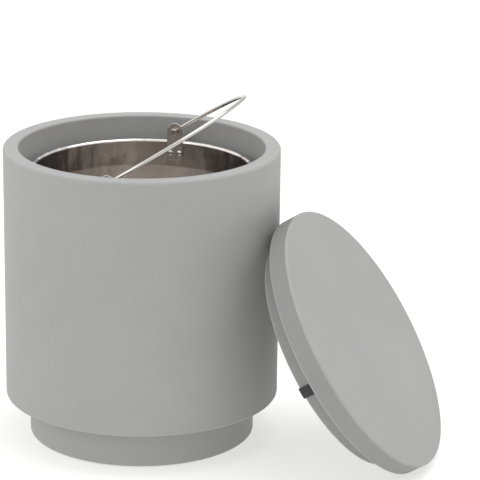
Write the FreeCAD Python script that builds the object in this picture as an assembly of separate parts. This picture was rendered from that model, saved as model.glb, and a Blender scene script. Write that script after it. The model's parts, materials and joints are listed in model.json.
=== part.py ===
"""Cooler side table: a cast drum on a recessed plinth, with a lift-out ice bucket and a loose lid.

Millimetres, +Z up. The origin is on the drum's axis at the floor. The lid leans against the drum on
its +X side, the bail hinges along Y and tilts towards +X, and the ears are on the -Y and +Y sides.
"""

import FreeCAD, Part
import math
import os

# ---- drum (casing) and plinth ----
drum_r = 200.0
drum_top = 433.5
drum_bottom = 60.9
wall = 22.1
floor_thickness = 18.0
rim_outer_round = 4.0
rim_inner_round = 3.0
bottom_round = 4.0
cove = 6.0

plinth_r = 164.9
plinth_wall = 17.0
plinth_floor = 13.0
plinth_bottom_round = 4.0
foot_proud = 2.0

boss_r = 18.0
boss_circle_r = 142.0
boss_root = 1.0            # how far a boss reaches into the plinth's floor
screw_r = 4.0
screw_hole_r = 4.5
screw_head_r = 8.0
screw_head_h = 4.5
screw_head_round = 2.0
screw_length = 38.0
washer_r = 12.0
washer_h = 2.0
insert_r = 6.5
insert_length = 26.0

foot_r = 16.0
foot_h = 5.0
foot_round = 1.0
foot_circle_r = 138.0
four_ways = [45.0, 135.0, 225.0, 315.0]

# ---- bucket ----
sheet = 1.0
bucket_mouth_r = 155.2
bucket_rim_top = 402.0
bucket_floor_gap = 0.3      # between the bucket and the drum's floor that it stands on
bucket_floor_r = 132.0
bucket_straight_bottom = 362.0
bucket_corner = 25.0
bucket_panel_r = 90.0
bucket_panel_rise = 3.0
bucket_panel_round = 2.0
curl_r = 4.2
curl_end_deg = -125.0
rim_wire_gap = 0.1

# ---- ears, rivets and bail ----
hinge_z = 416.5
ear_thickness = 1.6
ear_width = 24.0
ear_bottom = 372.0
ear_corner = 3.0
ear_tip_flat = 0.02         # straight left between the two arcs of the ear's round top
ear_blank_margin = 10.0     # how far the flat blank reaches past the wall before it is trimmed
ear_hole_gap = 0.3
rivet_z = 383.0
rivet_spread_deg = 5.2
rivet_r = 2.0
rivet_head_r = 4.0
rivet_head_h = 1.8
rivet_crown_r = 2.2
rivet_crown_round = 1.0
rivet_seat = 0.05           # how far the head is pulled clear of the curved plate
rivet_tail_r = 3.5
rivet_tail_h = 0.8
rivet_tail_round = 0.3

bail_wire_r = 2.8
bail_half_span = 160.4
bail_reach = 172.0
bail_bend = 5.0
bail_pin_end = 149.0
bail_head_r = 4.6
bail_head_h = 2.0
bail_tilt = 32.3

# ---- lid ----
lid_thickness = 29.6
lid_top_round = 2.5
lid_under_round = 1.5
plug_r = 174.5
plug_depth = 25.5
plug_lip_r = 170.0
plug_root_r = 164.0
plug_lip_h = 4.0            # how far the lip's inner side stays upright
plug_taper_h = 16.0         # where its taper reaches the root
plug_lip_round = 1.0
plug_round = 1.5
lid_recess = 12.0
recess_round = 8.0
pad_width = 16.0
pad_proud = 1.8
pad_root_gap = 0.5
pad_round = 1.0
pad_turns = [0.0, 90.0, 180.0, 270.0]

lean_deg = 32.4          # the lid's own axis, above the horizontal
lean_shift_y = -16.4
lid_under_x = 317.3      # where the centre of the lid's underside lies

ORIGIN = FreeCAD.Vector(0, 0, 0)
UP = FreeCAD.Vector(0, 0, 1)
Y_AXIS = FreeCAD.Vector(0, 1, 0)
X_AXIS = FreeCAD.Vector(1, 0, 0)


def at(x, z):
    """A point of a turned profile: radius x, height z."""
    return FreeCAD.Vector(x, 0, z)


def outline(corners):
    """A closed wire in the XZ plane; each corner is (x, z) or (x, z, rounding radius)."""
    count = len(corners)
    ends = []
    for i, corner in enumerate(corners):
        here = at(corner[0], corner[1])
        radius = corner[2] if len(corner) > 2 else 0.0
        if radius == 0.0:
            ends.append((here, here, None))
            continue
        before = at(*corners[i - 1][:2]) - here
        after = at(*corners[(i + 1) % count][:2]) - here
        before.normalize()
        after.normalize()
        half = before.getAngle(after) / 2
        reach = radius / math.tan(half)
        middle_way = (before + after).normalize()
        middle = here + middle_way * (radius / math.sin(half) - radius)
        ends.append((here + before * reach, here + after * reach, middle))
    edges = []
    for i, (start, stop, middle) in enumerate(ends):
        if middle is not None:
            edges.append(Part.Arc(start, middle, stop).toShape())
        next_start = ends[(i + 1) % count][0]
        if (next_start - stop).Length > 1e-6:
            edges.append(Part.LineSegment(stop, next_start).toShape())
    return Part.Wire(edges)


def turned(corners, degrees=360.0):
    """The outline revolved about the Z axis."""
    return Part.Face(outline(corners)).revolve(ORIGIN, UP, degrees)


def round_the_axis(shape, degrees):
    """A copy of the shape turned about the Z axis."""
    copy = shape.copy()
    copy.rotate(ORIGIN, UP, degrees)
    return copy


def upright(radius, height, x, y, z):
    """A vertical cylinder standing on (x, y, z)."""
    return Part.makeCylinder(radius, height, FreeCAD.Vector(x, y, z), UP)


def on_circle(radius, degrees):
    """X and Y of a point on a circle about the axis."""
    turn = math.radians(degrees)
    return radius * math.cos(turn), radius * math.sin(turn)


def group(shapes):
    """Separate solids kept together in one node."""
    return Part.Compound(shapes)


def save(shape, node):
    """One STEP file per node."""
    shape.exportStep(os.path.join("parts", node + ".step"))


# ---------------------------------------------------------------- drum and plinth


def casing_shell():
    """The cast drum: a plain cup with a rounded rim, and holes in its floor for the plinth's screws."""
    inner_r = drum_r - wall
    floor_top = drum_bottom + floor_thickness
    shell = turned([
        (0, drum_bottom),
        (drum_r, drum_bottom, bottom_round),
        (drum_r, drum_top, rim_outer_round),
        (inner_r, drum_top, rim_inner_round),
        (inner_r, floor_top, cove),
        (0, floor_top),
    ])
    for degrees in four_ways:
        x, y = on_circle(boss_circle_r, degrees)
        shell = shell.cut(upright(screw_hole_r, floor_thickness, x, y, drum_bottom))
    return shell


def plinth():
    """The recessed base, a cup with four bosses that take the screws and four pockets for the feet."""
    inner_r = plinth_r - plinth_wall
    floor_top = foot_proud + plinth_floor
    cup = turned([
        (0, foot_proud),
        (plinth_r, foot_proud, plinth_bottom_round),
        (plinth_r, drum_bottom),
        (inner_r, drum_bottom),
        (inner_r, floor_top, cove),
        (0, floor_top),
    ])
    pocket_h = foot_h - foot_proud
    for degrees in four_ways:
        x, y = on_circle(boss_circle_r, degrees)
        boss_bottom = floor_top - boss_root
        cup = cup.fuse(upright(boss_r, drum_bottom - boss_bottom, x, y, boss_bottom))
        cup = cup.cut(upright(insert_r, insert_length, x, y, drum_bottom - insert_length))
        x, y = on_circle(foot_circle_r, degrees)
        cup = cup.cut(upright(foot_r, pocket_h, x, y, foot_proud))
    return cup.removeSplitter()


def plinth_fixings():
    """Screws, washers and threaded inserts that hold the plinth under the drum's floor."""
    floor_top = drum_bottom + floor_thickness
    under_head = floor_top + washer_h
    screws = []
    washers = []
    inserts = []
    for degrees in four_ways:
        x, y = on_circle(boss_circle_r, degrees)
        shank = upright(screw_r, screw_length, x, y, under_head - screw_length)
        head = turned([
            (0, under_head),
            (screw_head_r, under_head),
            (screw_head_r, under_head + screw_head_h, screw_head_round),
            (0, under_head + screw_head_h),
        ])
        head.translate(FreeCAD.Vector(x, y, 0))
        screws.append(shank.fuse(head).removeSplitter())
        washer = upright(washer_r, washer_h, x, y, floor_top)
        washers.append(washer.cut(upright(screw_hole_r, washer_h, x, y, floor_top)))
        insert = upright(insert_r, insert_length, x, y, drum_bottom - insert_length)
        inserts.append(insert.cut(upright(screw_r, insert_length, x, y, drum_bottom - insert_length)))
    return group(screws), group(washers), group(inserts)


def foot_pad(degrees):
    """A rubber foot glued into its pocket under the plinth."""
    pad = turned([
        (0, 0),
        (foot_r, 0, foot_round),
        (foot_r, foot_h),
        (0, foot_h),
    ])
    x, y = on_circle(foot_circle_r, degrees)
    pad.translate(FreeCAD.Vector(x, y, 0))
    return pad


# ---------------------------------------------------------------- bucket

curl_centre_r = bucket_mouth_r + curl_r
curl_centre_z = bucket_rim_top - curl_r


def curl_point(radius, degrees):
    """A point round the centre of the rolled edge."""
    turn = math.radians(degrees)
    return at(curl_centre_r + radius * math.cos(turn), curl_centre_z + radius * math.sin(turn))


def rolled_edge():
    """The sheet rolled outwards and under, as an open ring in section."""
    inner = curl_r - sheet
    middle_deg = (180.0 + curl_end_deg) / 2
    outer_arc = Part.Arc(
        curl_point(curl_r, 180.0), curl_point(curl_r, middle_deg), curl_point(curl_r, curl_end_deg))
    inner_arc = Part.Arc(
        curl_point(inner, curl_end_deg), curl_point(inner, middle_deg), curl_point(inner, 180.0))
    section = Part.Wire([
        outer_arc.toShape(),
        Part.LineSegment(curl_point(curl_r, curl_end_deg), curl_point(inner, curl_end_deg)).toShape(),
        inner_arc.toShape(),
        Part.LineSegment(curl_point(inner, 180.0), curl_point(curl_r, 180.0)).toShape(),
    ])
    return Part.Face(section).revolve(ORIGIN, UP, 360.0)


def rivet_places():
    """The turn about Z of each rivet: two through each ear, which are on the -Y and +Y sides."""
    return [side + spread for side in (-90.0, 90.0)
            for spread in (-rivet_spread_deg / 2, rivet_spread_deg / 2)]


def rivet_holes(shape):
    """The shape with the rivets' holes drilled through it."""
    for degrees in rivet_places():
        drill = Part.makeCylinder(rivet_r, bucket_mouth_r, at(0, rivet_z), X_AXIS)
        drill = drill.fuse(Part.makeCylinder(rivet_r, 2 * sheet, at(bucket_mouth_r, rivet_z), X_AXIS))
        shape = shape.cut(round_the_axis(drill, degrees))
    return shape


def bucket_shell():
    """The spun bucket: straight below the rim, then tapered to a rounded floor with a raised panel."""
    bucket_floor = drum_bottom + floor_thickness + bucket_floor_gap
    inner_floor = bucket_floor + sheet
    lifted = bucket_panel_rise
    wall_shape = turned([
        (0, bucket_floor + lifted),
        (bucket_panel_r, bucket_floor + lifted, bucket_panel_round),
        (bucket_panel_r + lifted, bucket_floor, bucket_panel_round),
        (bucket_floor_r + sheet, bucket_floor, bucket_corner),
        (bucket_mouth_r + sheet, bucket_straight_bottom),
        (bucket_mouth_r + sheet, curl_centre_z),
        (bucket_mouth_r, curl_centre_z),
        (bucket_mouth_r, bucket_straight_bottom),
        (bucket_floor_r, inner_floor, bucket_corner - sheet),
        (bucket_panel_r + lifted, inner_floor, bucket_panel_round),
        (bucket_panel_r, inner_floor + lifted, bucket_panel_round),
        (0, inner_floor + lifted),
    ])
    return rivet_holes(wall_shape.fuse(rolled_edge())).removeSplitter()


def rim_wire():
    """The stiffening wire inside the rolled edge."""
    radius = curl_r - sheet - rim_wire_gap
    return Part.makeTorus(curl_centre_r, radius, at(0, curl_centre_z), UP)


def ear(side):
    """A curved plate on the inside of the bucket, rising over the rim with the bail's hole in it."""
    half = ear_width / 2
    height = hinge_z - ear_bottom
    inner_r = bucket_mouth_r - ear_thickness
    past_wall = bucket_mouth_r + ear_blank_margin
    tip_round = half - ear_tip_flat / 2
    blank = outline([
        (-half, ear_bottom, ear_corner),
        (half, ear_bottom, ear_corner),
        (half, hinge_z + half, tip_round),
        (-half, hinge_z + half, tip_round),
    ])
    slab = Part.Face(blank).extrude(Y_AXIS * past_wall)
    ring = upright(bucket_mouth_r, height + ear_width, 0, 0, ear_bottom - half)
    ring = ring.cut(upright(inner_r, height + ear_width, 0, 0, ear_bottom - half))
    plate = slab.common(ring)
    hole = Part.makeCylinder(bail_wire_r + ear_hole_gap, past_wall, at(0, hinge_z), Y_AXIS)
    plate = plate.cut(hole)
    if side < 0:
        plate.rotate(ORIGIN, UP, 180.0)
    return rivet_holes(plate)


def ear_rivets():
    """Dome-headed rivets through the ears and the bucket's wall."""
    ear_face = bucket_mouth_r - ear_thickness - rivet_seat
    grip = bucket_mouth_r + sheet - ear_face
    rivets = []
    for degrees in rivet_places():
        rivet = turned([
            (0, -rivet_head_h),
            (rivet_crown_r, -rivet_head_h, rivet_crown_round),
            (rivet_head_r, 0),
            (rivet_r, 0),
            (rivet_r, grip),
            (rivet_tail_r, grip),
            (rivet_tail_r, grip + rivet_tail_h, rivet_tail_round),
            (0, grip + rivet_tail_h),
        ])
        rivet.rotate(ORIGIN, Y_AXIS, 90.0)
        rivet.translate(at(ear_face, rivet_z))
        rivets.append(round_the_axis(rivet, degrees))
    return group(rivets)


def bail_handle():
    """Round wire bent to a half hoop on short legs, with its ends turned in through the ears."""
    leg = bail_reach - bail_half_span
    pin_turn = bail_half_span - bail_bend
    corner = bail_bend * (1 - math.sqrt(0.5))
    bends = []
    for side in (-1, 1):
        bends.append({
            "pin_end": FreeCAD.Vector(0, side * bail_pin_end, 0),
            "pin_turn": FreeCAD.Vector(0, side * pin_turn, 0),
            "middle": FreeCAD.Vector(corner, side * (bail_half_span - corner), 0),
            "leg_start": FreeCAD.Vector(bail_bend, side * bail_half_span, 0),
            "leg_end": FreeCAD.Vector(leg, side * bail_half_span, 0),
        })
    near, far = bends
    path = Part.Wire([
        Part.LineSegment(near["pin_end"], near["pin_turn"]).toShape(),
        Part.Arc(near["pin_turn"], near["middle"], near["leg_start"]).toShape(),
        Part.LineSegment(near["leg_start"], near["leg_end"]).toShape(),
        Part.Arc(near["leg_end"], FreeCAD.Vector(bail_reach, 0, 0), far["leg_end"]).toShape(),
        Part.LineSegment(far["leg_end"], far["leg_start"]).toShape(),
        Part.Arc(far["leg_start"], far["middle"], far["pin_turn"]).toShape(),
        Part.LineSegment(far["pin_turn"], far["pin_end"]).toShape(),
    ])
    section = Part.Wire(Part.makeCircle(bail_wire_r, near["pin_end"], Y_AXIS))
    wire = path.makePipeShell([section], True, True)
    for end in bends:
        start = end["pin_end"]
        inwards = FreeCAD.Vector(0, -math.copysign(1, start.y), 0)
        wire = wire.fuse(Part.makeCylinder(bail_head_r, bail_head_h, start, inwards))
    wire = wire.removeSplitter()
    wire.rotate(ORIGIN, Y_AXIS, -bail_tilt)
    wire.translate(at(0, hinge_z))
    return wire


# ---------------------------------------------------------------- lid


def leaning(shape):
    """Moves a lid piece from its closed place, underside at z = 0, to where the lid leans on the drum."""
    lean = math.radians(lean_deg)
    edge = lid_under_round
    lowest = (drum_r - edge) * math.cos(lean) - edge * math.sin(lean) + edge
    shape.rotate(ORIGIN, Y_AXIS, 90.0 - lean_deg)
    shape.translate(FreeCAD.Vector(lid_under_x, lean_shift_y, lowest))
    return shape


def lid_shell():
    """The cast lid: a disc with a plug ring that drops into the drum's mouth, hollow underneath."""
    return leaning(turned([
        (0, lid_thickness),
        (drum_r, lid_thickness, lid_top_round),
        (drum_r, 0, lid_under_round),
        (plug_r, 0),
        (plug_r, -plug_depth, plug_round),
        (plug_lip_r, -plug_depth, plug_lip_round),
        (plug_lip_r, plug_lip_h - plug_depth),
        (plug_root_r, plug_taper_h - plug_depth),
        (plug_root_r, lid_recess, recess_round),
        (0, lid_recess),
    ]))


def lid_pad(turn):
    """A rubber pad over the plug's side and lower edge, which centres the lid and takes the knocks."""
    outer = plug_r + pad_proud
    under = -plug_depth - pad_proud
    degrees = math.degrees(pad_width / plug_r)
    pad = turned([
        (plug_r, -pad_root_gap),
        (plug_r, -plug_depth),
        (plug_lip_r, -plug_depth),
        (plug_lip_r, under),
        (outer, under, pad_round),
        (outer, -pad_root_gap),
    ], degrees)
    return leaning(round_the_axis(pad, turn - degrees / 2))


os.makedirs("parts", exist_ok=True)

save(casing_shell(), "casing_shell")
save(plinth(), "plinth")
screws, washers, inserts = plinth_fixings()
save(screws, "plinth_screws")
save(washers, "plinth_washers")
save(inserts, "plinth_inserts")
for number, degrees in enumerate(four_ways, 1):
    save(foot_pad(degrees), "foot_pad_%d" % number)

save(bucket_shell(), "bucket_shell")
save(rim_wire(), "rim_wire")
save(ear(-1), "ear_front")
save(ear(1), "ear_back")
save(ear_rivets(), "ear_rivets")
save(bail_handle(), "bail_handle")

save(lid_shell(), "lid_shell")
for number, turn in enumerate(pad_turns, 1):
    save(lid_pad(turn), "lid_pad_%d" % number)
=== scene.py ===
import bpy
import json
import math
import numpy as np
from mathutils import Matrix, Vector


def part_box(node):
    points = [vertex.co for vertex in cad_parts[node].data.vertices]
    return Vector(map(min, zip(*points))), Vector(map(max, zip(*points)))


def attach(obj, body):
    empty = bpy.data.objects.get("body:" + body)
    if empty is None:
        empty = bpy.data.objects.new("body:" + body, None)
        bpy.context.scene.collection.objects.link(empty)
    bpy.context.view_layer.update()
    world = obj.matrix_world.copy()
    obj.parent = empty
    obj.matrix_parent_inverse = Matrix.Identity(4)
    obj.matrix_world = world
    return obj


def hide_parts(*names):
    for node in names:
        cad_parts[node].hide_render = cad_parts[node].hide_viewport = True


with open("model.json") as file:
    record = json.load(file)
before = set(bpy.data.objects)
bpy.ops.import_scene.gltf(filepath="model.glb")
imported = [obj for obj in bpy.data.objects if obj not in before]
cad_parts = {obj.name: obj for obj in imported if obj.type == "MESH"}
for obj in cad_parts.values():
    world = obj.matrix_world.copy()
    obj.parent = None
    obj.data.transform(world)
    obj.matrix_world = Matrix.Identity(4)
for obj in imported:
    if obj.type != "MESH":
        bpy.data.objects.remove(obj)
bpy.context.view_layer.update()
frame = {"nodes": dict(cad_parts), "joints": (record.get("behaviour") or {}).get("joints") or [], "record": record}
mounts = {m["name"]: m for m in frame["record"]["mounts"]}
hinge = next(j for j in frame["joints"] if j["name"] == "bail_swing")

drumLow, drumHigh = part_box("casing_shell")
plinthLow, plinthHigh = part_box("plinth")
bucketLow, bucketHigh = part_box("bucket_shell")
drumR, drumTop, drumBottom = drumHigh.x, drumHigh.z, drumLow.z


# Camera

cameraSetup = {
    "lens": 189.8,          # mm, on the sensor below
    "sensor": 36.0,
    "farClip": 50.0,
    "place": (1.1203, -3.3452, 1.3641),
    "turn": 16.2,           # degrees round from looking along +Y
    "pitch": 16.91,
    "roll": 0.713,
}


def makeCamera(setup):
    data = bpy.data.cameras.new("camera")
    data.lens = setup["lens"]
    data.sensor_width = setup["sensor"]
    data.clip_end = setup["farClip"]
    camera = bpy.data.objects.new("camera", data)
    bpy.context.scene.collection.objects.link(camera)
    turn = Matrix.Rotation(math.radians(setup["turn"]), 4, "Z")
    pitch = Matrix.Rotation(math.radians(90 - setup["pitch"]), 4, "X")
    roll = Matrix.Rotation(math.radians(setup["roll"]), 4, "Z")
    camera.matrix_world = Matrix.Translation(setup["place"]) @ turn @ pitch @ roll
    bpy.context.scene.camera = camera


makeCamera(cameraSetup)
print("camera ready")


# Surfaces from outlines


def roundedOutline(corners, steps=8, guard=0.0005, longest=0.012):
    # corners are (radius, height, rounding). Each rounding is an arc tangent to the two runs that meet
    # there: its ends lie rounding / tan(half angle) from the corner. A guard point just past each end
    # keeps flats flat, and long runs are divided. Returns the points and 1 where a point lies on an arc,
    # else 0.
    flat = [np.array(c[:2], float) for c in corners]
    pieces = []
    for i, corner in enumerate(corners):
        here = flat[i]
        rounding = corner[2] if len(corner) > 2 else 0.0
        if rounding == 0.0 or i in (0, len(corners) - 1):
            pieces.append((here[None, :], 0.0))
            continue
        before = (flat[i - 1] - here) / np.linalg.norm(flat[i - 1] - here)
        after = (flat[i + 1] - here) / np.linalg.norm(flat[i + 1] - here)
        half = math.acos(np.clip(before @ after, -1, 1)) / 2
        reach = rounding / math.tan(half)
        centre = here + (before + after) / np.linalg.norm(before + after) * rounding / math.sin(half)
        startArm = here + before * reach - centre
        endArm = here + after * reach - centre
        sweep = math.pi - 2 * half
        t = np.linspace(0, 1, steps + 1)[:, None]
        arc = centre + (np.sin((1 - t) * sweep) * startArm + np.sin(t * sweep) * endArm) / math.sin(sweep)
        lead = here + before * (reach + guard)
        trail = here + after * (reach + guard)
        pieces.append((lead[None, :], 0.0))
        pieces.append((arc, 1.0))
        pieces.append((trail[None, :], 0.0))
    points, marks = [pieces[0][0][0]], [0.0]
    for block, mark in pieces[1:]:
        gap = np.linalg.norm(block[0] - points[-1])
        extra = int(gap // longest)
        for k in range(1, extra + 1):
            points.append(points[-1] * (1 - 1 / (extra + 2 - k)) + block[0] / (extra + 2 - k))
            marks.append(0.0)
        points.extend(block)
        marks.extend([mark] * len(block))
    return np.array(points), np.array(marks)


def cross(first, second):
    # Every pairing of two index arrays, as two grids.
    return np.meshgrid(first, second, indexing="ij")


def finishedMesh(name, points, faces, uvs, edge, material):
    mesh = bpy.data.meshes.new(name)
    mesh.from_pydata(points.tolist(), [], faces)
    layer = mesh.uv_layers.new(name="UVMap")
    layer.data.foreach_set("uv", np.asarray(uvs, np.float32).ravel())
    marks = mesh.attributes.new("edge", "FLOAT", "POINT")
    marks.data.foreach_set("value", np.asarray(edge, np.float32))
    mesh.shade_smooth()
    mesh.update()
    mesh.materials.append(material)
    thing = bpy.data.objects.new(name, mesh)
    bpy.context.scene.collection.objects.link(thing)
    return thing


def skin(rings, along, edge, capStart=None, capEnd=None, closedRows=False):
    # A skin over rings of points, rings[row, column], each ring closed on itself. Quads join neighbours,
    # and capStart and capEnd are single points that close the ends with a fan. u runs round a ring from 0
    # to 1 and v is along, in metres. Returns points, faces, uvs and the marks of edge wear and painted shade.
    rows, columns = rings.shape[:2]
    rr, cc = cross(np.arange(rows if closedRows else rows - 1), np.arange(columns))
    nextC, nextR = (cc + 1) % columns, (rr + 1) % rows
    faces = np.stack([rr * columns + cc, rr * columns + nextC,
                      nextR * columns + nextC, nextR * columns + cc], -1).reshape(-1, 4).tolist()
    u0, u1 = cc / columns, (cc + 1) / columns
    v0, v1 = along[rr], along[rr + 1]
    uvs = [np.stack([u0, v0, u1, v0, u1, v1, u0, v1], -1).reshape(-1, 2)]
    points, marks = [rings.reshape(-1, 3)], [np.repeat(edge, columns)]
    ring = np.arange(columns)
    turn = (ring + 1) % columns
    left, middle, right = ring / columns, (ring + 0.5) / columns, (ring + 1) / columns
    if capStart is not None:
        pole = np.full(columns, rows * columns)
        points.append(np.reshape(capStart, (1, 3)))
        marks.append(edge[:1])
        faces += np.stack([pole, turn, ring], -1).tolist()
        v = np.full(columns, along[0])
        uvs.append(np.stack([middle, v, right, v, left, v], -1).reshape(-1, 2))
    if capEnd is not None:
        pole = np.full(columns, rows * columns + (capStart is not None))
        base = (rows - 1) * columns
        points.append(np.reshape(capEnd, (1, 3)))
        marks.append(edge[-1:])
        faces += np.stack([base + ring, base + turn, pole], -1).tolist()
        v = np.full(columns, along[-1])
        uvs.append(np.stack([left, v, right, v, middle, v], -1).reshape(-1, 2))
    return np.concatenate(points), faces, np.concatenate(uvs), np.concatenate(marks)


def placed(parts, places):
    # The same skin once for each place, as one set of points and faces.
    points, faces, uvs, marks = parts
    allPoints = [points @ np.array(m.to_3x3()).T + np.array(m.translation) for m in places]
    allFaces = [[i + n * len(points) for i in face] for n in range(len(places)) for face in faces]
    return np.concatenate(allPoints), allFaces, np.tile(uvs, (len(places), 1)), np.tile(marks, len(places))


def together(*parts):
    # Several skins as one set of points and faces.
    start = np.cumsum([0] + [len(part[0]) for part in parts])
    faces = [[i + int(n) for i in face] for n, part in zip(start, parts) for face in part[1]]
    points, uvs, marks = (np.concatenate([part[k] for part in parts]) for k in (0, 2, 3))
    return points, faces, uvs, marks


def turnedSkin(outline, marks, segments, places=None, waver=None):
    # A surface of revolution about Z: a point (radius, height) of the outline goes round as
    # (radius cos a, radius sin a, height). The outline starts and ends on the axis, where it closes to
    # single points, and runs anticlockwise seen with the radius to the right.
    # waver(angle, radius, height) gives the small pushes (outward, up) of a cast surface.
    a = np.arange(segments)[None, :] * 2 * math.pi / segments
    radius, height = outline[1:-1, :1], outline[1:-1, 1:]
    out, up = waver(a, radius, height) if waver else (0.0, 0.0)
    rings = np.stack([(radius + out) * np.cos(a), (radius + out) * np.sin(a), height + up + 0 * a], -1)
    along = np.r_[0, np.cumsum(np.linalg.norm(np.diff(outline[1:-1], axis=0), axis=1))]
    parts = skin(rings, along, marks[1:-1], (0, 0, outline[0, 1]), (0, 0, outline[-1, 1]))
    return placed(parts, places or [Matrix.Identity(4)])


def around(radius, degrees):
    # One place for each angle, on a circle about the axis.
    angles = np.radians(degrees)
    return [Matrix.Translation((radius * math.cos(a), radius * math.sin(a), 0)) for a in angles]


# Materials


def add(tree, kind, settings=None, **inputs):
    # A new node. Each input is named, or in0, in1 and so on by number, and takes a value or a link.
    node = tree.nodes.new(kind)
    for key, value in (settings or {}).items():
        setattr(node, key, value)
    for key, value in inputs.items():
        byNumber = key.startswith("in") and key[2:].isdigit()
        socket = node.inputs[int(key[2:]) if byNumber else key]
        if isinstance(value, bpy.types.NodeSocket):
            tree.links.new(value, socket)
        else:
            socket.default_value = value
    return node


def newMaterial(name):
    material = bpy.data.materials.new(name)
    material.use_nodes = True
    tree = material.node_tree
    shader = tree.nodes["Principled BSDF"]
    where = add(tree, "ShaderNodeTexCoord").outputs["Object"]
    return material, tree, shader, where


def noise(tree, where, scale, detail, rough=0.5):
    return add(tree, "ShaderNodeTexNoise", Vector=where, Scale=scale, Detail=detail,
               Roughness=rough).outputs["Fac"]


def remap(tree, value, low, high, toLow, toHigh):
    node = add(tree, "ShaderNodeMapRange", {"clamp": True}, Value=value)
    for key, number in (("From Min", low), ("From Max", high), ("To Min", toLow), ("To Max", toHigh)):
        node.inputs[key].default_value = number
    return node.outputs["Result"]


def maths(tree, what, a, b=0.0):
    return add(tree, "ShaderNodeMath", {"operation": what}, in0=a, in1=b).outputs[0]


def blendColour(tree, factor, a, b, how="MIX"):
    settings = {"data_type": "RGBA", "blend_type": how}
    return add(tree, "ShaderNodeMix", settings, in0=factor, in6=a, in7=b).outputs[2]


def toned(tree, colour, tone):
    # The colour times a grey.
    grey = add(tree, "ShaderNodeCombineColor", Red=tone, Green=tone, Blue=tone).outputs[0]
    return blendColour(tree, 1.0, colour, grey, "MULTIPLY")


def bumped(tree, height, strength, distance, **under):
    # under may name the Normal of a bump that lies below this one.
    bump = add(tree, "ShaderNodeBump", Height=height, Strength=strength, Distance=distance, **under)
    return bump.outputs[0]


castLook = {
    "colour": (0.362, 0.364, 0.360, 1.0),
    "poreColour": (0.17, 0.17, 0.168, 1.0),
    "cloudScale": 4.5,
    "patchScale": 26.0,
    "gritScale": 320.0,
    "sandScale": 1150.0,
    "cloud": 0.05,          # how much the tone drifts over a hand's width
    "speckle": 0.05,        # fine sand grain
    "edgeLift": 0.05,       # rubbed edges are a little paler
    "poreScale": 190.0,
    "poreRims": (0.07, 0.14),
    "poreAreas": 55.0,      # pores come in patches of this scale
    "poreShade": 0.55,
    "roughness": (0.60, 0.74),
    "gloss": 0.35,
    "relief": (0.35, 0.00035),      # strength and height of the bump
}


def castStone(look):
    # The tone drifts slowly and is speckled by sand. Pores are the middles of some cells, in patches, and
    # the per-point mark makes rubbed edges paler; where it is below 0 it is painted shade, darker by that share.
    material, tree, shader, where = newMaterial("castStone")
    cloud = noise(tree, where, look["cloudScale"], 5.0, 0.55)
    patches = noise(tree, where, look["patchScale"], 6.0, 0.6)
    sand = noise(tree, where, look["sandScale"], 2.0, 0.6)
    grit = noise(tree, where, look["gritScale"], 3.0, 0.6)
    drift = maths(tree, "ADD", maths(tree, "MULTIPLY", cloud, 0.6), maths(tree, "MULTIPLY", patches, 0.4))
    tone = remap(tree, drift, 0.32, 0.68, 1 - look["cloud"], 1 + look["cloud"])
    fine = remap(tree, sand, 0.3, 0.7, 1 - look["speckle"], 1 + look["speckle"])
    tone = maths(tree, "MULTIPLY", tone, fine)
    cells = add(tree, "ShaderNodeTexVoronoi", {"feature": "F1"}, Vector=where, Scale=look["poreScale"],
                Randomness=1.0)
    hole = remap(tree, cells.outputs["Distance"], *look["poreRims"], 1.0, 0.0)
    chosen = remap(tree, noise(tree, where, look["poreAreas"], 2.0), 0.56, 0.62, 0.0, 1.0)
    pores = maths(tree, "MULTIPLY", hole, chosen)
    edge = add(tree, "ShaderNodeAttribute", {"attribute_name": "edge"}).outputs["Fac"]
    rubbed = maths(tree, "MULTIPLY", maths(tree, "MAXIMUM", edge),
                   remap(tree, patches, 0.3, 0.62, 0.35, 1.0))
    lift = maths(tree, "ADD", maths(tree, "MULTIPLY", rubbed, look["edgeLift"]), 1.0)
    lift = maths(tree, "ADD", lift, maths(tree, "MINIMUM", edge))     # below 0: painted shade, darker by that share
    tone = maths(tree, "MULTIPLY", tone, lift)
    colour = toned(tree, look["colour"], tone)
    shaded = maths(tree, "MULTIPLY", pores, look["poreShade"])
    colour = blendColour(tree, shaded, colour, look["poreColour"])
    tree.links.new(colour, shader.inputs["Base Color"])
    low, high = look["roughness"]
    tree.links.new(remap(tree, patches, 0.3, 0.7, low, high), shader.inputs["Roughness"])
    shader.inputs["Specular IOR Level"].default_value = look["gloss"]
    height = maths(tree, "ADD", maths(tree, "MULTIPLY", sand, 0.10), maths(tree, "MULTIPLY", grit, 0.22))
    height = maths(tree, "ADD", height, maths(tree, "MULTIPLY", patches, 0.5))
    height = maths(tree, "SUBTRACT", height, maths(tree, "MULTIPLY", pores, 0.9))
    tree.links.new(bumped(tree, height, *look["relief"]), shader.inputs["Normal"])
    return material


spunLook = {
    "colour": (0.77, 0.735, 0.705, 1.0),
    "roughness": (0.12, 0.19),
    "lines": 2600.0,        # turning marks per metre across the surface
    "drift": 7.0,           # how fast the marks change round the axis
    "wideShare": 0.05,      # broad bands, as a share of the fine lines
    "smearScale": 14.0,
    "lineRelief": (0.05, 0.00006),
    "rippleScale": (26.0, 26.0, 9.0),
    "rippleRelief": (0.8, 0.005),
}


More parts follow.
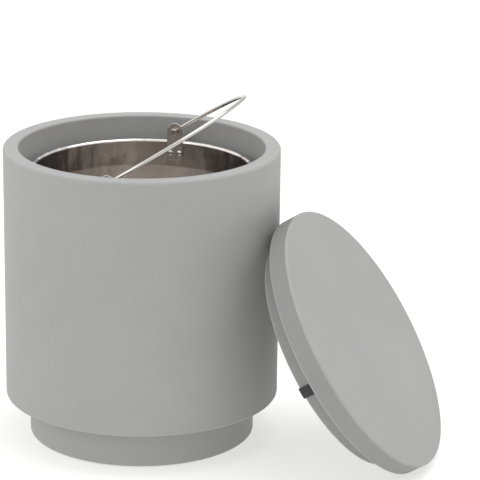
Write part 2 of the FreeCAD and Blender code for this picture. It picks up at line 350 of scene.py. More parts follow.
def spunSteel(look):
    # Turning marks run round the axis: the noise changes fast with radius plus height, slowly with x and
    # y. Under them a soft upright ripple bends the reflections.
    material, tree, shader, where = newMaterial("spunSteel")
    split = add(tree, "ShaderNodeSeparateXYZ", Vector=where).outputs
    radius = maths(tree, "SQRT", maths(tree, "ADD", maths(tree, "MULTIPLY", split[0], split[0]),
                                       maths(tree, "MULTIPLY", split[1], split[1])))
    across = maths(tree, "MULTIPLY", maths(tree, "ADD", radius, split[2]), look["lines"])
    broad = maths(tree, "MULTIPLY", across, look["wideShare"])
    slowX, slowY = (maths(tree, "MULTIPLY", split[i], look["drift"]) for i in (0, 1))
    fineWhere, wideWhere = (add(tree, "ShaderNodeCombineXYZ", X=slowX, Y=slowY, Z=z).outputs[0]
                            for z in (across, broad))
    lines = noise(tree, fineWhere, 1.0, 2.0, 0.6)
    wide = noise(tree, wideWhere, 1.0, 3.0, 0.5)
    smear = noise(tree, where, look["smearScale"], 4.0, 0.6)
    low, high = look["roughness"]
    rough = remap(tree, lines, 0.3, 0.7, low, high)
    rough = maths(tree, "ADD", rough, remap(tree, smear, 0.45, 0.75, 0.0, 0.07))
    tree.links.new(rough, shader.inputs["Roughness"])
    colour = toned(tree, look["colour"], remap(tree, wide, 0.3, 0.7, 0.97, 1.02))
    tree.links.new(colour, shader.inputs["Base Color"])
    shader.inputs["Metallic"].default_value = 1.0
    height = maths(tree, "ADD", maths(tree, "MULTIPLY", lines, 0.5), maths(tree, "MULTIPLY", wide, 0.3))
    upright = add(tree, "ShaderNodeMapping", Vector=where)
    upright.inputs["Scale"].default_value = look["rippleScale"]
    ripple = noise(tree, upright.outputs[0], 1.0, 2.0, 0.5)
    marked = bumped(tree, height, *look["lineRelief"])
    tree.links.new(bumped(tree, ripple, *look["rippleRelief"], Normal=marked), shader.inputs["Normal"])
    return material


wireLook = {
    "colour": (0.64, 0.61, 0.58, 1.0),
    "roughness": (0.10, 0.18),
    "stretch": (46.0, 2.5, 1.0),    # marks round the wire, and per metre along it
    "spotScale": 120.0,
    "relief": (0.15, 0.00006),
}


def drawnWire(look):
    # Drawing marks run along the wire, so they change fast round it: across the piece's own v.
    material, tree, shader, where = newMaterial("drawnWire")
    uv = add(tree, "ShaderNodeTexCoord").outputs["UV"]
    long = add(tree, "ShaderNodeMapping", Vector=uv)
    long.inputs["Scale"].default_value = look["stretch"]
    marks = noise(tree, long.outputs[0], 1.0, 4.0, 0.65)
    spots = noise(tree, where, look["spotScale"], 4.0, 0.6)
    low, high = look["roughness"]
    rough = maths(tree, "ADD", remap(tree, marks, 0.3, 0.7, low, high),
                  remap(tree, spots, 0.5, 0.75, 0.0, 0.08))
    tree.links.new(rough, shader.inputs["Roughness"])
    colour = toned(tree, look["colour"], remap(tree, marks, 0.3, 0.7, 0.94, 1.03))
    tree.links.new(colour, shader.inputs["Base Color"])
    shader.inputs["Metallic"].default_value = 1.0
    tree.links.new(bumped(tree, marks, *look["relief"]), shader.inputs["Normal"])
    return material


smallMetal = {
    "stainShare": 0.12,     # scale of the stains, as a share of the scuffs'
    "relief": (0.05, 0.00005),
    # colour, lowest and highest roughness, scale of the scuffs
    "earSteel": ((0.80, 0.765, 0.74, 1.0), 0.20, 0.28, 260.0),
    "rivetSteel": ((0.66, 0.65, 0.63, 1.0), 0.16, 0.34, 420.0),
    "zincSteel": ((0.62, 0.63, 0.64, 1.0), 0.28, 0.48, 300.0),
    "brass": ((0.72, 0.55, 0.28, 1.0), 0.25, 0.45, 300.0),
}


def plainMetal(look, name):
    # Pressed or turned small pieces: fine random scuffs over a satin finish.
    colour, low, high, scale = look[name]
    material, tree, shader, where = newMaterial(name)
    scuffs = noise(tree, where, scale, 5.0, 0.65)
    stains = noise(tree, where, scale * look["stainShare"], 3.0, 0.5)
    tree.links.new(remap(tree, scuffs, 0.3, 0.7, low, high), shader.inputs["Roughness"])
    shade = toned(tree, colour, remap(tree, stains, 0.35, 0.7, 1.02, 0.94))
    tree.links.new(shade, shader.inputs["Base Color"])
    shader.inputs["Metallic"].default_value = 1.0
    tree.links.new(bumped(tree, scuffs, *look["relief"]), shader.inputs["Normal"])
    return material


rubberLook = {
    "colour": (0.030, 0.031, 0.036, 1.0),
    "dust": (0.075, 0.075, 0.078, 1.0),
    "grainScale": 1900.0,
    "dustScale": 150.0,
    "gloss": 0.4,
    "relief": (0.3, 0.00015),
}


def blackRubber(look):
    material, tree, shader, where = newMaterial("blackRubber")
    grain = noise(tree, where, look["grainScale"], 2.0, 0.6)
    dust = noise(tree, where, look["dustScale"], 5.0, 0.65)
    colour = blendColour(tree, remap(tree, dust, 0.45, 0.75, 0.0, 0.55), look["colour"], look["dust"])
    tree.links.new(colour, shader.inputs["Base Color"])
    tree.links.new(remap(tree, dust, 0.3, 0.7, 0.52, 0.72), shader.inputs["Roughness"])
    shader.inputs["Specular IOR Level"].default_value = look["gloss"]
    tree.links.new(bumped(tree, grain, *look["relief"]), shader.inputs["Normal"])
    return material


stone = castStone(castLook)
steel = spunSteel(spunLook)
wire = drawnWire(wireLook)
rubber = blackRubber(rubberLook)
earSteel, rivetSteel, zincSteel, brass = (
    plainMetal(smallMetal, name) for name in ("earSteel", "rivetSteel", "zincSteel", "brass"))
print("materials ready")


# The drum

drum = {
    "wall": 0.0221,
    "floor": 0.018,
    "rimOuterRound": 0.004,
    "rimInnerRound": 0.003,
    "bottomRound": 0.004,
    "cove": 0.006,
    "rimZone": 0.02,        # how far below the top the rim's edge wear reaches
    "rubBelow": 0.35,       # share of that wear that the other edges get
    "segments": 320,
    "waver": 0.00012,       # how far a cast face drifts inward
}


def castWaver(amount, low, high):
    # A sum of slow sines of the angle and height, from 0 to -amount: inward only, so nothing leaves the
    # solid. Faces at the top sink by the same sort of amount, faces at the bottom stay where they stand,
    # and the waver fades out within eased of the axis.
    eased = 0.05

    def push(a, radius, height):
        wave = (np.sin(3 * a + 9 * height + 0.4) + np.sin(5 * a - 14 * height + 2.1)
                + 0.7 * np.sin(8 * a + 23 * height + 1.3)) / 5.4 - 0.5
        out = amount * wave * np.minimum(1, radius / eased)
        return out, out * np.clip((height - low) / (high - low), 0, 1)
    return push


def makeDrum(look, material):
    # A plain cup: out along its underside, up the outside, over the rim, down the bore and in.
    bore, floorTop = drumR - look["wall"], drumBottom + look["floor"]
    outline, marks = roundedOutline([
        (0, drumBottom),
        (drumR, drumBottom, look["bottomRound"]),
        (drumR, drumTop, look["rimOuterRound"]),
        (bore, drumTop, look["rimInnerRound"]),
        (bore, floorTop, look["cove"]),
        (0, floorTop),
    ])
    marks[outline[:, 1] < drumTop - look["rimZone"]] *= look["rubBelow"]
    push = castWaver(look["waver"], drumBottom, drumTop)
    return finishedMesh("castDrum", *turnedSkin(outline, marks, look["segments"], waver=push), material)


castDrum = makeDrum(drum, stone)
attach(castDrum, "casing")
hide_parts("casing_shell")
print("drum done")


# The plinth, its fixings and its feet

base = {
    "wall": 0.017,
    "floor": 0.013,
    "bottomRound": 0.004,
    "cove": 0.006,
    "edgeRound": 0.0008,
    "rub": 0.6,             # edge wear, as a share of the drum's rim
    "bossR": 0.018,
    "bossHole": 0.0065,
    "bossHoleRound": 0.0004,
    "bossHoleDepth": 0.026,
    "bossSunk": 0.001,      # how far a boss reaches into the floor
    "bossShort": 0.0001,    # how far its top stops below the ring's
    "bossSegments": 48,
    "bossCircle": 0.142,
    "corners": (45.0, 135.0, 225.0, 315.0),
    "segments": 320,
    "waver": 0.00008,
}


def makePlinth(look, material):
    # A shallow cup, open at the top, with a turned boss at each corner angle.
    outer, low, high = plinthHigh.x, plinthLow.z, plinthHigh.z
    inner, floorTop = outer - look["wall"], low + look["floor"]
    outline, marks = roundedOutline([
        (0, low),
        (outer, low, look["bottomRound"]),
        (outer, high, look["edgeRound"]),
        (inner, high, look["edgeRound"]),
        (inner, floorTop, look["cove"]),
        (0, floorTop),
    ])
    push = castWaver(look["waver"], low, high)
    cup = turnedSkin(outline, look["rub"] * marks, look["segments"], waver=push)
    foot, top = floorTop - look["bossSunk"], high - look["bossShort"]
    holeFloor = high - look["bossHoleDepth"]
    boss, bossMarks = roundedOutline([
        (0, foot),
        (look["bossR"], foot),
        (look["bossR"], top, look["edgeRound"]),
        (look["bossHole"], top, look["bossHoleRound"]),
        (look["bossHole"], holeFloor),
        (0, holeFloor),
    ])
    bosses = turnedSkin(boss, bossMarks, look["bossSegments"], around(look["bossCircle"], look["corners"]))
    return finishedMesh("plinthRing", *together(cup, bosses), material)


feet = {
    "circle": 0.138,
    "radius": 0.016,
    "lowRound": 0.001,
    "topRound": 0.0005,
    "grooves": (0.0045, 0.0080, 0.0115),
    "grooveHalf": (0.0008, 0.0004),     # half its width at the face and at its floor
    "grooveDepth": 0.0007,
    "grooveRound": 0.0003,
    "segments": 72,
}


def makeFoot(look, material, number, place):
    # A disc with shallow round grooves underneath: each groove is a dip in the underside's outline.
    low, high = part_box("foot_pad_%d" % number)
    dip, soft = low.z + look["grooveDepth"], look["grooveRound"]
    wide, narrow = look["grooveHalf"]
    corners = [(0, low.z)]
    for groove in look["grooves"]:
        corners += [(groove - wide, low.z, soft), (groove - narrow, dip, soft),
                    (groove + narrow, dip, soft), (groove + wide, low.z, soft)]
    corners += [(look["radius"], low.z, look["lowRound"]), (look["radius"], high.z, look["topRound"]),
                (0, high.z)]
    outline, marks = roundedOutline(corners, steps=5, guard=0.00015)
    skinned = turnedSkin(outline, marks, look["segments"], [place])
    return finishedMesh("footPad%d" % number, *skinned, material)


screw = {
    "headR": 0.008,
    "headHeight": 0.0045,
    "headRound": 0.0026,
    "headUnderRound": 0.0004,
    "faceR": 0.0036,        # of the flat round the socket
    "shankR": 0.004,
    "tipRound": 0.0008,
    "length": 0.038,
    "socket": 0.0025,       # half the width across the flats
    "socketDepth": 0.0028,
    "columns": 72,
}

washer = {
    "radius": 0.012,
    "height": 0.002,
    "hole": 0.0045,
    "outerRound": 0.0005,
    "holeRound": 0.0004,
    "columns": 64,
}


def makeScrews(look, material, places, under):
    # A domed head with a hexagon socket. The socket's rings lie on a hexagon: at angle a the radius is
    # the half width divided by the cosine of a's distance from the middle of its flat.
    top = look["headHeight"]
    outline, marks = roundedOutline([
        (0, -look["length"]),
        (look["shankR"], -look["length"], look["tipRound"]),
        (look["shankR"], 0),
        (look["headR"], 0, look["headUnderRound"]),
        (look["headR"], top, look["headRound"]),
        (look["faceR"], top),
    ], steps=6, guard=0.0002)
    a = np.arange(look["columns"]) * 2 * math.pi / look["columns"]
    radius, height = outline[1:, :1], outline[1:, 1:]
    roundRings = np.stack([radius * np.cos(a), radius * np.sin(a), height + 0 * a], -1)
    hexagon = look["socket"] / np.cos((a % (math.pi / 3)) - math.pi / 6)
    floor = top - look["socketDepth"]
    # (share of the hexagon, height): a broken edge, straight sides, then the drill's shallow cone
    steps = [(1.08, top), (1.02, top - 0.0001), (1.0, top - 0.0004),
             (1.0, floor + 0.0002), (0.97, floor), (0.5, floor - 0.0003)]
    socketRings = np.stack([np.stack([k * hexagon * np.cos(a), k * hexagon * np.sin(a), z + 0 * a], -1)
                            for k, z in steps])
    rings = np.concatenate([roundRings, socketRings])
    along = np.r_[0, np.cumsum(np.linalg.norm(np.diff(rings[:, 0], axis=0), axis=1))]
    edge = np.r_[marks[1:], np.zeros(len(steps))]
    parts = skin(rings, along, edge, (0, 0, outline[0, 1]), (0, 0, steps[-1][1]))
    lifted = [Matrix.Translation((0, 0, under)) @ place for place in places]
    return finishedMesh("plinthScrews", *placed(parts, lifted), material)


def makeWashers(look, material, places, floor):
    # A flat ring: its closed section is carried once round the axis.
    high, inner, outer = look["height"], look["hole"], look["radius"]
    middle, seam = (inner + outer) / 2, 1e-4
    section, marks = roundedOutline([
        (middle, 0),
        (outer, 0, look["outerRound"]),
        (outer, high, look["outerRound"]),
        (inner, high, look["holeRound"]),
        (inner, 0, look["holeRound"]),
        (middle - seam, 0),
    ], steps=4, guard=0.0002)
    a = np.arange(look["columns"]) * 2 * math.pi / look["columns"]
    rings = np.stack([section[:, :1] * np.cos(a), section[:, :1] * np.sin(a), section[:, 1:] + 0 * a], -1)
    along = np.r_[0, np.cumsum(np.linalg.norm(np.diff(section, axis=0), axis=1)), 0]
    parts = skin(rings, along, marks, closedRows=True)
    lifted = [Matrix.Translation((0, 0, floor)) @ place for place in places]
    return finishedMesh("plinthWashers", *placed(parts, lifted), material)


plinthRing = makePlinth(base, stone)
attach(plinthRing, "casing")
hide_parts("plinth")
for number, place in enumerate(around(feet["circle"], base["corners"]), 1):
    foot = makeFoot(feet, rubber, number, place)
    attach(foot, "casing")
    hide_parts("foot_pad_%d" % number)

bossPlaces = around(base["bossCircle"], base["corners"])
cavityFloor = drumBottom + drum["floor"]
screws = makeScrews(screw, zincSteel, bossPlaces, cavityFloor + washer["height"])
washers = makeWashers(washer, zincSteel, bossPlaces, cavityFloor)
for piece, node in ((screws, "plinth_screws"), (washers, "plinth_washers")):
    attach(piece, "casing")
    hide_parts(node)
print("plinth done")


# The bucket

curl = {
    "radius": 0.0042,       # of the rolled edge's outside
    "sheet": 0.001,
    "endDegrees": -125.0,
    "lead": 0.0005,         # upright left below the curl
    "steps": 29,
}

bucket = {
    "mouth": 0.1552,
    "floorR": 0.132,
    "straightBottom": 0.362,
    "corner": 0.025,
    "wallBlend": 0.02,      # where the taper meets the straight band
    "panelR": 0.090,
    "panelRise": 0.003,
    "panelRound": 0.002,
    "segments": 360,
}


def makeBucket(look, edgeLook, material):
    # The sheet's two faces are one closed outline: out along the underside, up the outer wall, round the
    # inside of the rolled edge and back round its outside, then down the inner wall to the middle of the
    # floor.
    sheet = edgeLook["sheet"]
    mouth, low, high = look["mouth"], bucketLow.z, bucketHigh.z
    centre = np.array([mouth + edgeLook["radius"], high - edgeLook["radius"]])
    panel, rise = look["panelR"], look["panelRise"]
    under, _ = roundedOutline([
        (0, low + rise),
        (panel, low + rise, look["panelRound"]),
        (panel + rise, low, look["panelRound"]),
        (look["floorR"] + sheet, low, look["corner"]),
        (mouth + sheet, look["straightBottom"], look["wallBlend"]),
        (mouth + sheet, centre[1] - edgeLook["lead"]),
    ])
    inside, _ = roundedOutline([
        (mouth, centre[1] - edgeLook["lead"]),
        (mouth, look["straightBottom"], look["wallBlend"]),
        (look["floorR"], low + sheet, look["corner"] - sheet),
        (panel + rise, low + sheet, look["panelRound"]),
        (panel, low + rise + sheet, look["panelRound"]),
        (0, low + rise + sheet),
    ])
    a = np.radians(np.linspace(180.0, edgeLook["endDegrees"], edgeLook["steps"]))[:, None]
    ring = np.hstack([np.cos(a), np.sin(a)])
    outline = np.concatenate([under, centre + (edgeLook["radius"] - sheet) * ring,
                              centre + edgeLook["radius"] * ring[::-1], inside])
    return finishedMesh("bucketShell", *turnedSkin(outline, 0 * outline[:, 0], look["segments"]), material)


ears = {
    "thickness": 0.0016,
    "width": 0.024,
    "corner": 0.003,
    "hole": 0.0031,
    "edgeRound": 0.0004,
    "columns": 192,
}


def makeEar(look, material, node, side):
    # A plate drawn outwards from its hole. At angle t the plate's rim lies at distance d(t): the round
    # top's radius, or where that ray meets the straight side, the bottom edge or a rounded corner. A
    # point goes from the hole (0) to the rim (1) and back on the other face, and the flat plate is bent
    # to the bucket's wall, where y is the root of radius squared less x squared.
    low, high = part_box(node)
    half, drop, corner = look["width"] / 2, hinge["pos_m"][2] - low.z, look["corner"]
    t = np.arange(look["columns"]) * 2 * math.pi / look["columns"]
    cos, sin = np.cos(t), np.sin(t)
    safeCos, safeSin = np.maximum(np.abs(cos), 1e-9), np.maximum(-sin, 1e-9)
    straight = np.minimum(half / safeCos, drop / safeSin)
    x, z = straight * cos, straight * sin
    cx, cz = np.sign(cos) * (half - corner), -(drop - corner)
    toward = cx * cos + cz * sin
    bend = toward + np.sqrt(np.maximum(toward ** 2 - cx ** 2 - cz ** 2 + corner ** 2, 0))
    inCorner = (np.abs(x) > half - corner) & (z < cz)
    rim = np.where(sin >= 0, half, np.where(inCorner, bend, straight))
    r, thick = look["edgeRound"], look["thickness"]
    q = np.radians(np.linspace(0, 90, 5))
    # (how far in from the edge, depth) round each of the four rounded edges
    inset, depth = r * (1 - np.sin(q)), r * (1 - np.cos(q))
    spans = np.linspace(0.06, 0.94, 9)
    rows = [(0, s, 0.0) for s in spans]
    rows += [(-i, 1.0, d) for i, d in zip(inset, depth)]
    rows += [(-i, 1.0, thick - d) for i, d in zip(inset[::-1], depth[::-1])]
    rows += [(0, s, thick) for s in spans[::-1]]
    rows += [(i, 0.0, thick - d) for i, d in zip(inset, depth)]
    rows += [(i, 0.0, d) for i, d in zip(inset[::-1], depth[::-1])]
    shift, share, level = (np.array(c)[:, None] for c in zip(*rows))
    reach = look["hole"] + share * (rim - look["hole"]) + shift
    flatX, flatZ = reach * cos, reach * sin
    wall = bucket["mouth"] - thick + level
    rings = np.stack([-side * flatX, side * np.sqrt(wall ** 2 - flatX ** 2), hinge["pos_m"][2] + flatZ], -1)
    along = np.arange(len(rows) + 1) * 0.001
    edge = np.zeros(len(rows))
    name = "earFront" if side < 0 else "earBack"
    return finishedMesh(name, *skin(rings, along, edge, closedRows=True), material)


rivets = {
    "height": 0.383,
    "spread": 5.2,          # degrees between the two in one ear
    "headR": 0.004,
    "headHeight": 0.0018,
    "stem": 0.002,
    "tailR": 0.0035,
    "tailHeight": 0.0008,
    "tailRounds": (0.0002, 0.0003),
    "seat": 0.00005,        # how far the head is pulled clear of the curved plate
    "segments": 40,
}


def makeRivets(look, material):
    # A domed head inside, a stem through the sheet and a flattened tail outside, each along a radius.
    face = bucket["mouth"] - ears["thickness"] - look["seat"]
    grip = bucket["mouth"] + curl["sheet"] - face
    dome = np.radians(np.linspace(8, 90, 10))
    head = np.stack([look["headR"] * np.sin(dome), -look["headHeight"] * np.cos(dome)], -1)
    tailEnd = grip + look["tailHeight"]
    innerRound, outerRound = look["tailRounds"]
    tail, _ = roundedOutline([
        (look["headR"], 0),
        (look["stem"], look["seat"]),
        (look["stem"], grip),
        (look["tailR"], grip, innerRound),
        (look["tailR"], tailEnd, outerRound),
        (0, tailEnd),
    ], steps=4, guard=0.0001)
    outline = np.concatenate([[(0, -look["headHeight"])], head, tail[1:]])
    half = look["spread"] / 2
    laid = Matrix.Translation((face, 0, look["height"])) @ Matrix.Rotation(math.radians(90), 4, "Y")
    places = [Matrix.Rotation(math.radians(side + spread), 4, "Z") @ laid
              for side in (-90, 90) for spread in (-half, half)]
    skinned = turnedSkin(outline, 0 * outline[:, 0], look["segments"], places)
    return finishedMesh("earRivets", *skinned, material)


bucketShell = makeBucket(bucket, curl, steel)
earFront = makeEar(ears, earSteel, "ear_front", -1)
earBack = makeEar(ears, earSteel, "ear_back", 1)
earRivets = makeRivets(rivets, rivetSteel)
for piece, node, slot in ((bucketShell, "bucket_shell", "bucket_steel"),
                          (earFront, "ear_front", "bucket_steel"),
                          (earBack, "ear_back", "bucket_steel"),
                          (earRivets, "ear_rivets", "wire_steel")):
    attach(piece, "bucket")
    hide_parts(node)
print("bucket done")


# The bail

bail = {
    "wireR": 0.0028,
    "bend": 0.005,
    "pinEnd": 0.149,
    "headR": 0.0046,
    "headHeight": 0.002,
    "headRounds": (0.0009, 0.0005),     # outer and inner edge of the upset head
    "neckRound": 0.0004,
    "neck": 0.0015,
    "columns": 40,
    "bendSteps": 14,
    "bowSteps": 160,
}


def bailPath(look, halfSpan, reach):
    # Runs of constant curvature in the bail's own plane, u outwards and y across. Over a run that turns
    # the heading from p to p + turn, the place is start + length / turn * (sin, -cos) differences; a run
    # that doesn't turn is straight. Returns places and headings.
    pin = halfSpan - look["bend"] - look["pinEnd"]
    leg = reach - halfSpan - look["bend"]
    corner = math.pi / 2 * look["bend"]
    quarter = (corner, math.pi / 2, look["bendSteps"])
    bow = (math.pi * halfSpan, math.pi, look["bowSteps"])
    runs = [(pin, 0, 4), quarter, (leg, 0, 2), bow, (leg, 0, 2), quarter, (pin, 0, 4)]
    place, heading = np.array([0.0, -look["pinEnd"]]), -math.pi / 2
    places, headings = [place[None, :]], [np.array([heading])]
    for length, turn, steps in runs:
        share = np.linspace(0, 1, steps + 1)[1:]
        angle = heading + turn * share
        if turn:
            moved = length / turn * np.stack([np.sin(angle) - math.sin(heading),
                                              math.cos(heading) - np.cos(angle)], -1)
        else:
            moved = length * share[:, None] * np.array([[math.cos(heading), math.sin(heading)]])
        places.append(place + moved)
        headings.append(angle)
        place, heading = places[-1][-1], angle[-1]
    return np.concatenate(places), np.concatenate(headings)


def makeBail(look, material):
    # A tube along the path: place + radius * (cos a * side + sin a * plane normal). At each end the
    # radius follows the upset head's outline, and the ring closes to a point.
    low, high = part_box("bail_handle")
    r, pivot = look["wireR"], hinge["pos_m"][2]
    tilt = math.atan2(high.z - r - pivot, high.x - r)
    reach = math.hypot(high.z - r - pivot, high.x - r)
    places, headings = bailPath(look, high.y - r, reach)
    head, _ = roundedOutline([
        (0, -look["headHeight"]),
        (look["headR"], -look["headHeight"], look["headRounds"][0]),
        (look["headR"], 0, look["headRounds"][1]),
        (r, 0, look["neckRound"]),
        (r, look["neck"]),
    ], steps=6, guard=0.0002)
    radii, back = head[1:, 0], head[1:, 1]
    startAhead = np.array([math.cos(headings[0]), math.sin(headings[0])])
    endAhead = np.array([math.cos(headings[-1]), math.sin(headings[-1])])
    line = np.concatenate([places[0] + back[:, None] * startAhead, places[2:-2],
                           (places[-1] - back[:, None] * endAhead)[::-1]])
    turn = np.concatenate([np.full(len(back), headings[0]), headings[2:-2],
                           np.full(len(back), headings[-1])])
    radius = np.concatenate([radii, np.full(len(places) - 4, r), radii[::-1]])[:, None]
    a = np.arange(look["columns"]) * 2 * math.pi / look["columns"]
    sideways, up = radius * np.cos(a), radius * np.sin(a)
    u = line[:, :1] - sideways * np.sin(turn)[:, None]
    y = line[:, 1:] + sideways * np.cos(turn)[:, None]
    rings = tilted(u, y, up, tilt, pivot)
    along = np.r_[0, np.cumsum(np.linalg.norm(np.diff(line, axis=0), axis=1))]
    caps = [tilted(0.0, sign * (look["pinEnd"] - look["headHeight"]), 0.0, tilt, pivot) for sign in (-1, 1)]
    edge = np.zeros(len(line))
    return finishedMesh("bailWire", *skin(rings, along, edge, *caps), material)


def tilted(u, y, w, tilt, pivot):
    # From the bail's plane to the row frame: u leans by the tilt above +X and w is the plane's normal.
    return np.stack([u * math.cos(tilt) - w * math.sin(tilt), y + 0 * w,
                     pivot + u * math.sin(tilt) + w * math.cos(tilt)], -1)


bailWire = makeBail(bail, wire)
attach(bailWire, "bail")
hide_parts("bail_handle")
print("bail done")


# The lid

lid = {
    "thickness": 0.0296,
    "topRound": 0.0025,
    "underRound": 0.0015,
    "plugR": 0.1745,
    "plugDepth": 0.0255,
    "plugRound": 0.0015,
    "plugRootRound": 0.0006,
    "lipR": 0.170,
    "lipHeight": 0.004,     # how far the lip's inner side stays upright
    "lipRounds": (0.001, 0.003),
    "taperHeight": 0.016,   # where its taper reaches the root
    "taperRound": 0.006,
    "rootR": 0.164,
    "recess": 0.012,
    "recessRound": 0.008,
    "segments": 320,
    "waver": 0.0001,
    "rubUnder": 0.4,        # share of the top's edge wear that the underside gets
    "sideTone": -0.22,      # painted shade: the lid's side, underside and plug are made darker by this share
}


def lidPlace(look):
    # The lid's own frame, z along its axis and its underside at z = 0, from the middle of its top face.
    axis = Vector(mounts["lid_top"]["axis"]).normalized()
    across = Vector((0, 1, 0))
    along = across.cross(axis)
    place = Matrix((along, across, axis)).transposed().to_4x4()
    place.translation = Vector(mounts["lid_top"]["pos_m"]) - look["thickness"] * axis
    return place


def makeLid(look, material, place):
    # A disc with a hollow plug under it, as one outline: from the middle of the hollow down the plug's
    # inner side, round its lip, up its outside, out along the underside and over the top.
    deep = -look["plugDepth"]
    outline, marks = roundedOutline([
        (0, look["recess"]),
        (look["rootR"], look["recess"], look["recessRound"]),
        (look["rootR"], deep + look["taperHeight"], look["taperRound"]),
        (look["lipR"], deep + look["lipHeight"], look["lipRounds"][1]),
        (look["lipR"], deep, look["lipRounds"][0]),
        (look["plugR"], deep, look["plugRound"]),
        (look["plugR"], 0, look["plugRootRound"]),
        (drumR, 0, look["underRound"]),
        (drumR, look["thickness"], look["topRound"]),
        (0, look["thickness"]),
    ])
    radius, height = outline.T
    marks[height < 0.001] *= look["rubUnder"]
    # painted shade: the lid's side, underside and plug get this negative mark, so they come out darker
    side = (radius > look["lipR"]) & (marks == 0) & (height < look["thickness"] - look["topRound"])
    marks[side] = look["sideTone"]
    push = castWaver(look["waver"], 0.0, look["thickness"])
    return finishedMesh("lidDisc", *turnedSkin(outline, marks, look["segments"], [place], push), material)


pads = {
    "width": 0.016,
    "proud": 0.0018,
    "round": 0.001,         # of the outer corner
    "endRound": 0.0007,
    "rootGap": 0.0005,      # between the pad and the root and lip of the plug
    "sunk": 0.0003,         # how far its back reaches into the plug
    "turns": (0.0, 90.0, 180.0, 270.0),
    "sideRows": 9,
    "footRows": 5,
    "bendRows": 7,
}


def makePad(look, material, place, number, turn):
    # An L in section, over the plug's side and its lower edge, carried round the plug by its width.
    # Towards each end the outer face draws in along a quarter circle, so the ends are rounded too.
    thick, corner, r = look["proud"], look["round"], lid["plugR"]
    onSide, onBend, onFoot = look["sideRows"], look["bendRows"], look["footRows"]
    q = np.radians(np.linspace(0, 90, onBend))
    top, low = -look["rootGap"], -lid["plugDepth"]
    side = np.stack([np.full(onSide, r), np.linspace(top, low + 0.002, onSide)], -1)
    foot = np.stack([np.linspace(r - look["rootGap"], lid["lipR"], onFoot), np.full(onFoot, low)], -1)
    inner = np.concatenate([side, np.tile([r, low], (onBend, 1)), foot])
    outwards = np.concatenate([np.tile([1.0, 0.0], (onSide, 1)), np.stack([np.cos(q), -np.sin(q)], -1),
                               np.tile([0.0, -1.0], (onFoot, 1))])
    # the outer corner is a small arc inside the square one
    core = np.zeros_like(inner)
    core[onSide:onSide + onBend] = thick - corner, corner - thick
    reach = np.full((len(inner), 1), thick)
    reach[onSide:onSide + onBend] = corner
    ease, half = look["endRound"], look["width"] / 2
    end = ease * np.r_[0, 1 - np.cos(q[1:]), 1.5, 3, 6]
    s = np.r_[-half + end, 0.0, (half - end)[::-1]]
    fromEnd = np.minimum(half - np.abs(s), ease)
    drawn = ease - np.sqrt(np.maximum(ease ** 2 - (ease - fromEnd) ** 2, 0))
    outer = inner[None] + core[None] + outwards[None] * (reach[None] - drawn[:, None, None])
    back = inner[None] - outwards[None] * look["sunk"]
    section = np.concatenate([outer, np.broadcast_to(back, outer.shape)[:, ::-1]], axis=1)
    angle = math.radians(turn) + s / r
    rings = np.stack([section[..., 0] * np.cos(angle)[:, None], section[..., 0] * np.sin(angle)[:, None],
                      section[..., 1]], -1)
    points, faces, uvs, edge = skin(rings, np.r_[0, np.cumsum(np.diff(s))], np.zeros(len(s)))
    n = len(inner)
    strip = np.arange(n - 1)
    last = np.stack([strip, strip + 1, 2 * n - 2 - strip, 2 * n - 1 - strip], -1)
    faces = faces + last[:, ::-1].tolist() + (last + (len(s) - 1) * 2 * n).tolist()
    uvs = np.concatenate([uvs, np.zeros((8 * (n - 1), 2))])
    turned = placed((points, faces, uvs, edge), [place])
    return finishedMesh("lidPad%d" % number, *turned, material)


leaning = lidPlace(lid)
lidDisc = makeLid(lid, stone, leaning)
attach(lidDisc, "lid")
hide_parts("lid_shell")
for number, turn in enumerate(pads["turns"], 1):
    pad = makePad(pads, rubber, leaning, number, turn)
    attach(pad, "lid")
    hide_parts("lid_pad_%d" % number)
print("lid done")


# CAD pieces that stay

for node, material in (("plinth_inserts", brass), ("rim_wire", rivetSteel)):
    kept = frame["nodes"][node]
    for slot in kept.material_slots:
        slot.material = material


# Floor and light

studio = {
    "floor": (0.50, 0.50, 0.497, 1.0),
    "floorPale": (0.52, 0.52, 0.517, 1.0),
    "floorGlow": 0.56,      # a lit sweep, so that shadows on it stay pale
    "skyLow": 0.50,
    "skyHigh": 0.95,
    "skyLeft": 0.42,        # how much more comes from -X
    "floorR": 16.0,
    "overhead": {"power": 39.0, "size": 3.0, "place": (1.1, 0.4, 3.0), "target": (0.1, 0, 0.2)},
    "key": {"power": 9.0, "size": 1.6, "place": (-1.6, -2.4, 2.2), "target": (0.1, 0, 0.25)},
}


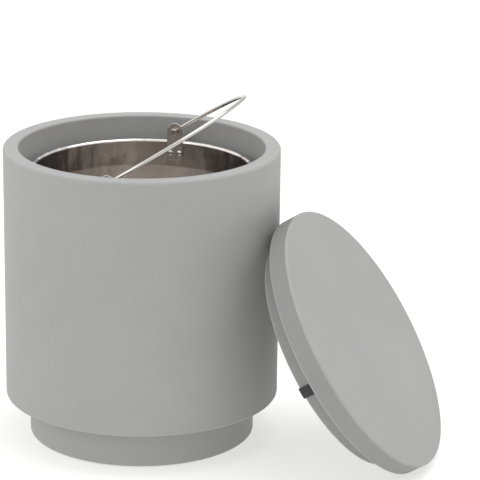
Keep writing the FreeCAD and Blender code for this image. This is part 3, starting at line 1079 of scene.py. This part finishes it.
def makeFloor(look):
    # A wide flat disc, finely speckled so that it isn't dead flat in tone.
    a = np.arange(96) * 2 * math.pi / 96
    rim = np.stack([look["floorR"] * np.cos(a), look["floorR"] * np.sin(a), 0 * a], -1)
    mesh = bpy.data.meshes.new("studioFloor")
    mesh.from_pydata(rim.tolist(), [], [list(range(96))])
    material, tree, shader, where = newMaterial("studioFloor")
    tone = blendColour(tree, noise(tree, where, 2.0, 2.0), look["floor"], look["floorPale"])
    tree.links.new(tone, shader.inputs["Base Color"])
    shader.inputs["Roughness"].default_value = 0.9
    shader.inputs["Specular IOR Level"].default_value = 0.1
    shader.inputs["Emission Color"].default_value = (1.0, 1.0, 0.997, 1.0)
    shader.inputs["Emission Strength"].default_value = look["floorGlow"]
    mesh.materials.append(material)
    floor = bpy.data.objects.new("studioFloor", mesh)
    bpy.context.scene.collection.objects.link(floor)


def areaLight(name, look):
    data = bpy.data.lights.new(name, "AREA")
    data.shape = "DISK"
    data.size = look["size"]
    data.energy = look["power"]
    light = bpy.data.objects.new(name, data)
    light.location = look["place"]
    way = Vector(look["target"]) - Vector(look["place"])
    light.rotation_euler = way.to_track_quat("-Z", "Y").to_euler()
    bpy.context.scene.collection.objects.link(light)


def makeWorld(look):
    # A plain white sky, dimmer near the horizon and brighter towards -X.
    world = bpy.data.worlds.new("studioSky")
    world.use_nodes = True
    tree = world.node_tree
    background = tree.nodes["Background"]
    where = add(tree, "ShaderNodeTexCoord").outputs["Generated"]
    split = add(tree, "ShaderNodeSeparateXYZ", Vector=where).outputs
    tone = maths(tree, "ADD", remap(tree, split[2], -0.1, 0.9, look["skyLow"], look["skyHigh"]),
                 remap(tree, split[0], 0.1, -1.0, 0.0, look["skyLeft"]))
    tree.links.new(add(tree, "ShaderNodeCombineColor", Red=tone, Green=tone, Blue=tone).outputs[0],
                   background.inputs["Color"])
    background.inputs["Strength"].default_value = 1.0
    bpy.context.scene.world = world


makeFloor(studio)
makeWorld(studio)
areaLight("overhead", studio["overhead"])
areaLight("key", studio["key"])
bpy.context.scene.view_settings.view_transform = "Standard"
print("studio done")
